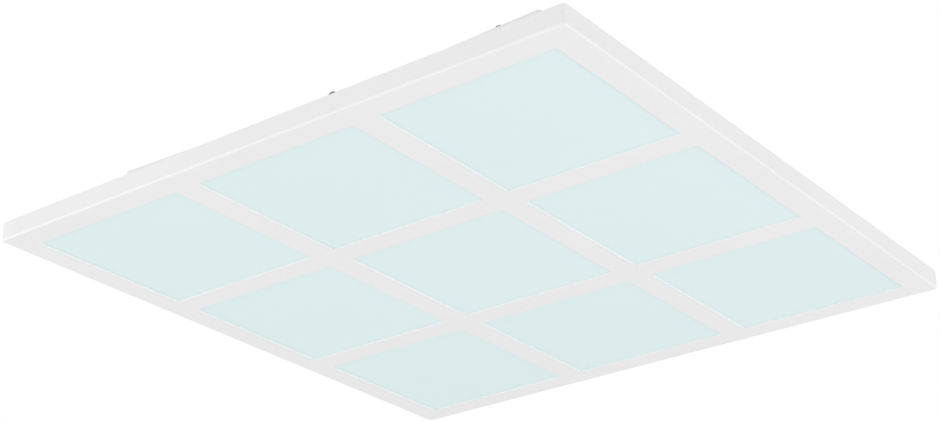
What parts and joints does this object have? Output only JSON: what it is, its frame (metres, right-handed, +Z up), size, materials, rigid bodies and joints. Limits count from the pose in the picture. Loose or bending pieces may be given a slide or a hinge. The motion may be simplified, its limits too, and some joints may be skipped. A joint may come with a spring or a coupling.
{
  "type": "led ceiling panel light",
  "caption": "Square surface-mounted ceiling panel light: a thin white folded cover with a grid of square diffuser windows on a smaller tray that holds driver and wiring.",
  "frame": {"origin": "middle of the ceiling strap's upper face, which lies on the ceiling", "axes": "+Z up into the ceiling, +Y along the ceiling strap, +X across it, the light hangs below z = 0"},
  "size_m": [0.595, 0.595, 0.0735],
  "materials": {
    "white_paint": "satin",
    "opal_sheet": "satin",
    "zinc_steel": "satin",
    "galvanised_steel": "satin",
    "foam": "matte",
    "rail_aluminium": "satin",
    "board_white": "satin",
    "led_phosphor": "satin",
    "lens_clear": "gloss",
    "reflector_white": "matte",
    "nylon_white": "satin",
    "red_wire": "satin",
    "black_wire": "satin",
    "brown_wire": "satin",
    "blue_wire": "satin",
    "green_wire": "satin",
    "black_rubber": "matte",
    "grey_rubber": "matte",
    "brass": "satin",
    "black_metal": "satin",
    "case_plastic": "satin",
    "circuit_green": "satin",
    "copper": "satin",
    "coil_tape": "satin",
    "ferrite": "matte",
    "can_aluminium": "satin",
    "switch_black": "satin",
    "terminal_grey": "satin",
    "button_orange": "satin"
  },
  "bodies": {
    "light": {"back_plate": "galvanised_steel", "base_tray": "white_paint", "board_connectors": "nylon_white", "board_links": "nylon_white", "board_rivets": "nylon_white", "ceiling_strap": "galvanised_steel", "clamp_rail_1": "rail_aluminium", "clamp_rail_2": "rail_aluminium", "clamp_rail_3": "rail_aluminium", "clamp_rail_4": "rail_aluminium", "cover_nuts": "zinc_steel", "cover_studs": "zinc_steel", "diffuser_posts": "nylon_white", "diffuser_sheet": "opal_sheet", "driver_base": "case_plastic", "driver_board": "circuit_green", "driver_capacitors": "can_aluminium", "driver_choke": "copper", "driver_lid": "case_plastic", "earth_nut": "zinc_steel", "earth_stud": "zinc_steel", "earth_tag": "brass", "earth_wire": "green_wire", "floor_screws": "zinc_steel", "front_cover": "white_paint", "gasket_strips": "foam", "lead_grommet": "black_rubber", "led_board_1": "board_white", "led_board_2": "board_white", "led_board_3": "board_white", "led_board_4": "board_white", "led_board_5": "board_white", "led_board_6": "board_white", "led_board_7": "board_white", "led_board_8": "board_white", "led_board_9": "board_white", "led_chips": "led_phosphor", "led_lenses": "lens_clear", "led_wires_black": "black_wire", "led_wires_red": "red_wire", "live_wire": "brown_wire", "neutral_wire": "blue_wire", "reflector_sheet": "reflector_white", "rim_buffers": "grey_rubber", "solder_blocks": "nylon_white", "strap_bushes": "brass", "switch_body": "switch_black", "terminal_block": "terminal_grey", "terminal_clips": "brass", "transformer_coil": "coil_tape", "transformer_core": "ferrite", "tray_rivets": "zinc_steel", "wire_saddles": "nylon_white"},
    "front_thumb_screw": {"thumb_screw_front": "black_metal"},
    "back_thumb_screw": {"thumb_screw_back": "black_metal"},
    "colour_slider": {"switch_slider": "switch_black"},
    "release_button_1": {"terminal_button_1": "button_orange"},
    "release_button_2": {"terminal_button_2": "button_orange"},
    "release_button_3": {"terminal_button_3": "button_orange"}
  },
  "joints": [
    {"name": "front_thumb_screw_out", "type": "slide", "parent": "light", "child": "front_thumb_screw", "axis": [0, -1, 0], "range_m": [0, 0.01]},
    {"name": "back_thumb_screw_out", "type": "slide", "parent": "light", "child": "back_thumb_screw", "axis": [0, 1, 0], "range_m": [0, 0.01]},
    {"name": "colour_slider_move", "type": "slide", "parent": "light", "child": "colour_slider", "axis": [0, 1, 0], "range_m": [-0.003, 0.003]},
    {"name": "release_button_1_press", "type": "slide", "parent": "light", "child": "release_button_1", "axis": [0, 0, -1], "range_m": [0, 0.0015], "stiffness_N_per_m": 600, "springref_m": -0.001},
    {"name": "release_button_2_press", "type": "slide", "parent": "light", "child": "release_button_2", "axis": [0, 0, -1], "range_m": [0, 0.0015], "stiffness_N_per_m": 600, "springref_m": -0.001},
    {"name": "release_button_3_press", "type": "slide", "parent": "light", "child": "release_button_3", "axis": [0, 0, -1], "range_m": [0, 0.0015], "stiffness_N_per_m": 600, "springref_m": -0.001}
  ]
}
